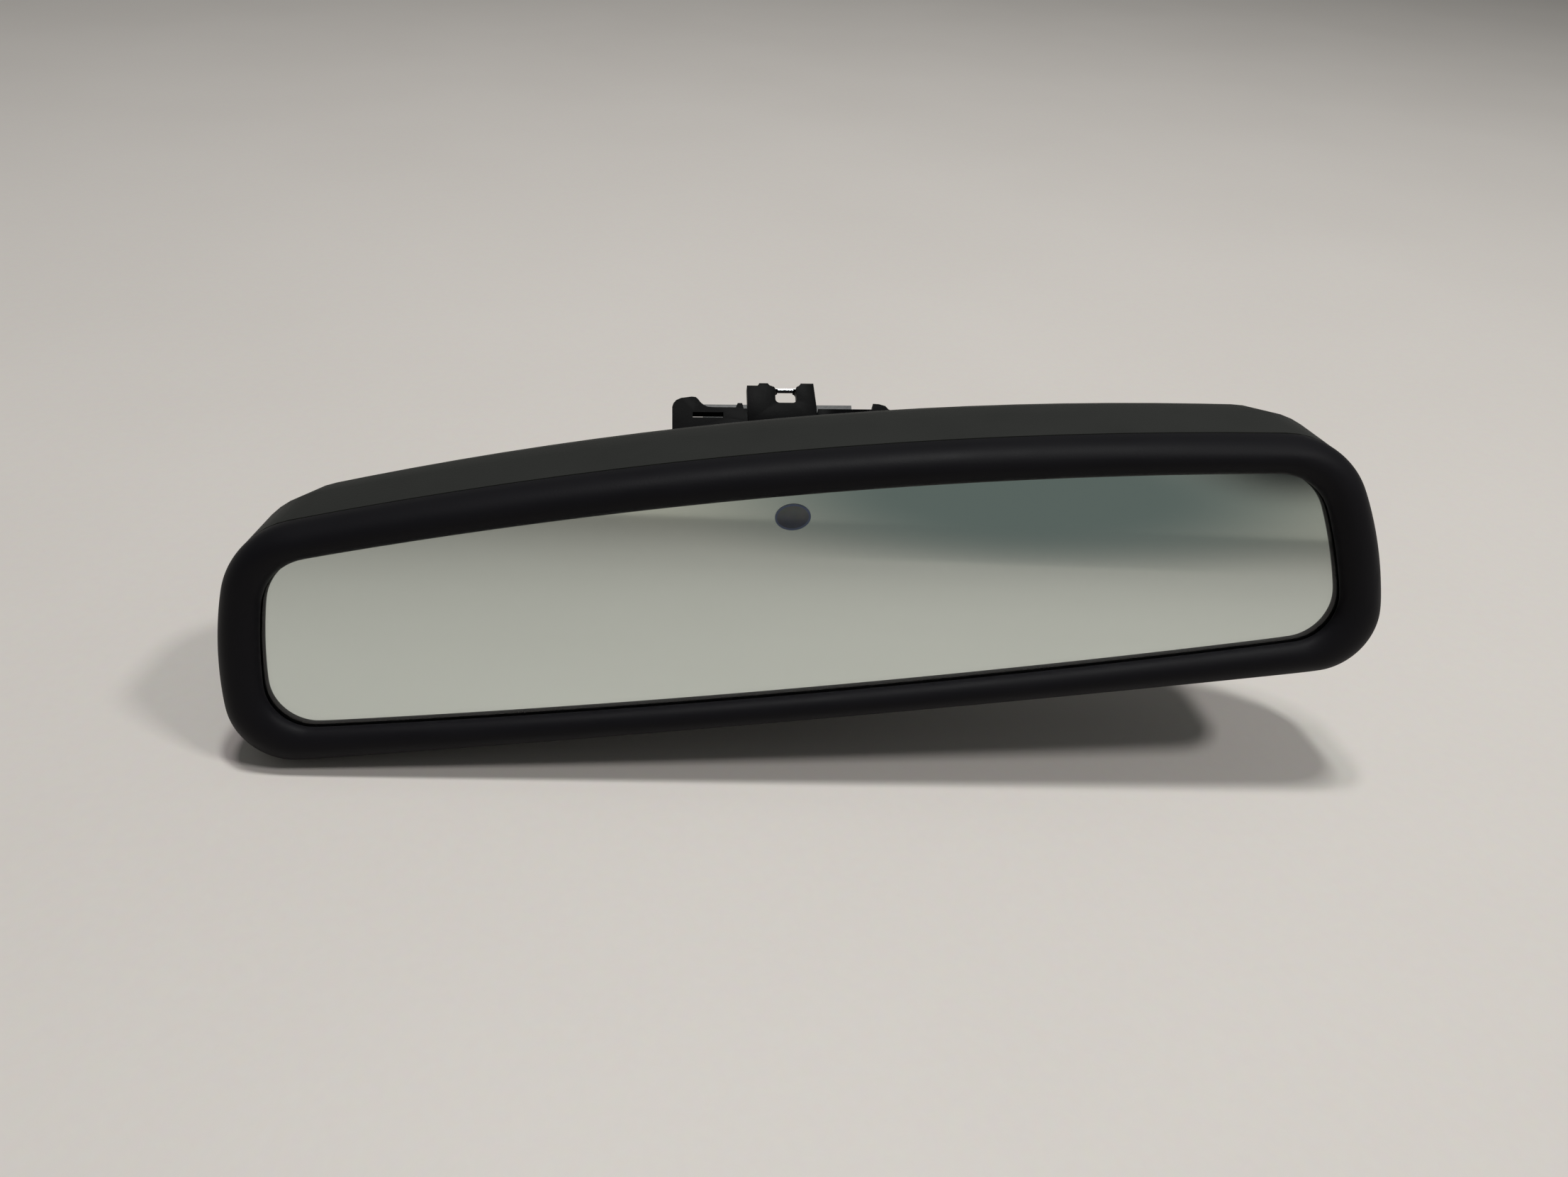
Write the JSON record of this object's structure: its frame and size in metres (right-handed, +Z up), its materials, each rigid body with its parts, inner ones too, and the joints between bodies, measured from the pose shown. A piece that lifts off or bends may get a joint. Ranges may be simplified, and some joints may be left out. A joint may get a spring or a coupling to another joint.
{
  "type": "interior rearview mirror",
  "caption": "Auto-dimming interior car mirror: a wide arched glass in a rounded matt bezel and case, on a ball joint and arm with a slide-on windscreen foot.",
  "frame": {"origin": "centre of the seat face of the foot, where it rests on the windscreen button", "axes": "+Z up, +X along the mirror to the right as seen from its glass side, +Y away from the viewer, towards the windscreen. At rest the head lies as it was left: leaned back 15 degrees, rolled 7.25 degrees and turned 3.9 degrees about its ball"},
  "size_m": [0.2482, 0.1137, 0.0779],
  "materials": {
    "soft_black": "fine matt grain",
    "case_grey": "fine matt grain",
    "clear_glass": "polished",
    "gel": "clear tint",
    "epoxy": "matt",
    "mirror_glass": "mirror coated",
    "copper": "plated strip",
    "foam": "foam tape",
    "black_plastic": "moulded",
    "board_green": "solder mask",
    "chip_black": "moulded",
    "clear_plastic": "clear moulded",
    "plated_pin": "plated",
    "steel": "zinc plated",
    "glass_filled": "glass filled nylon",
    "spring_steel": "spring temper",
    "acetal": "natural acetal",
    "black_metal": "matt powder coat",
    "coated_zinc": "die cast, black coat",
    "foot_plastic": "moulded"
  },
  "bodies": {
    "foot": {"ball_stud": "steel", "stud_pin": "steel", "arm": "black_metal", "foot_base": "coated_zinc", "base_screws": "steel", "retaining_spring": "spring_steel", "spring_screw": "steel", "foot_carrier": "foot_plastic", "carrier_screws": "steel", "centre_clip": "foot_plastic", "clip_bar": "spring_steel"},
    "inner_race": {"inner_liner": "acetal"},
    "outer_race": {"outer_liner": "acetal"},
    "head": {"front_bezel": "soft_black", "rear_case": "case_grey", "front_glass": "clear_glass", "ec_gel": "gel", "cell_seal": "epoxy", "rear_glass": "mirror_glass", "upper_bus_clip": "copper", "lower_bus_clip": "copper", "glass_pad": "foam", "carrier_plate": "black_plastic", "circuit_board": "board_green", "board_parts": "chip_black", "glare_light_pipe": "clear_plastic", "ambient_lens": "clear_plastic", "connector_shell": "black_plastic", "connector_pins": "plated_pin", "case_screws": "steel", "board_screws": "steel", "socket_cup": "glass_filled", "socket_ring": "glass_filled", "socket_screws": "steel", "pressure_spring": "spring_steel", "spring_cap": "glass_filled"}
  },
  "joints": [
    {"name": "swing_side", "type": "hinge", "parent": "foot", "child": "inner_race", "pos_m": [0, -0.056, 0.008], "axis": [0, 0, 1], "range_deg": [-14.1, 21.9]},
    {"name": "tilt_up", "type": "hinge", "parent": "inner_race", "child": "outer_race", "pos_m": [0, -0.056, 0.008], "axis": [0.9977, -0.068, 0], "range_deg": [-10, 26]},
    {"name": "roll_level", "type": "hinge", "parent": "outer_race", "child": "head", "pos_m": [0, -0.056, 0.008], "axis": [0.0657, 0.9637, -0.2588], "range_deg": [-4.75, 19.25]}
  ]
}
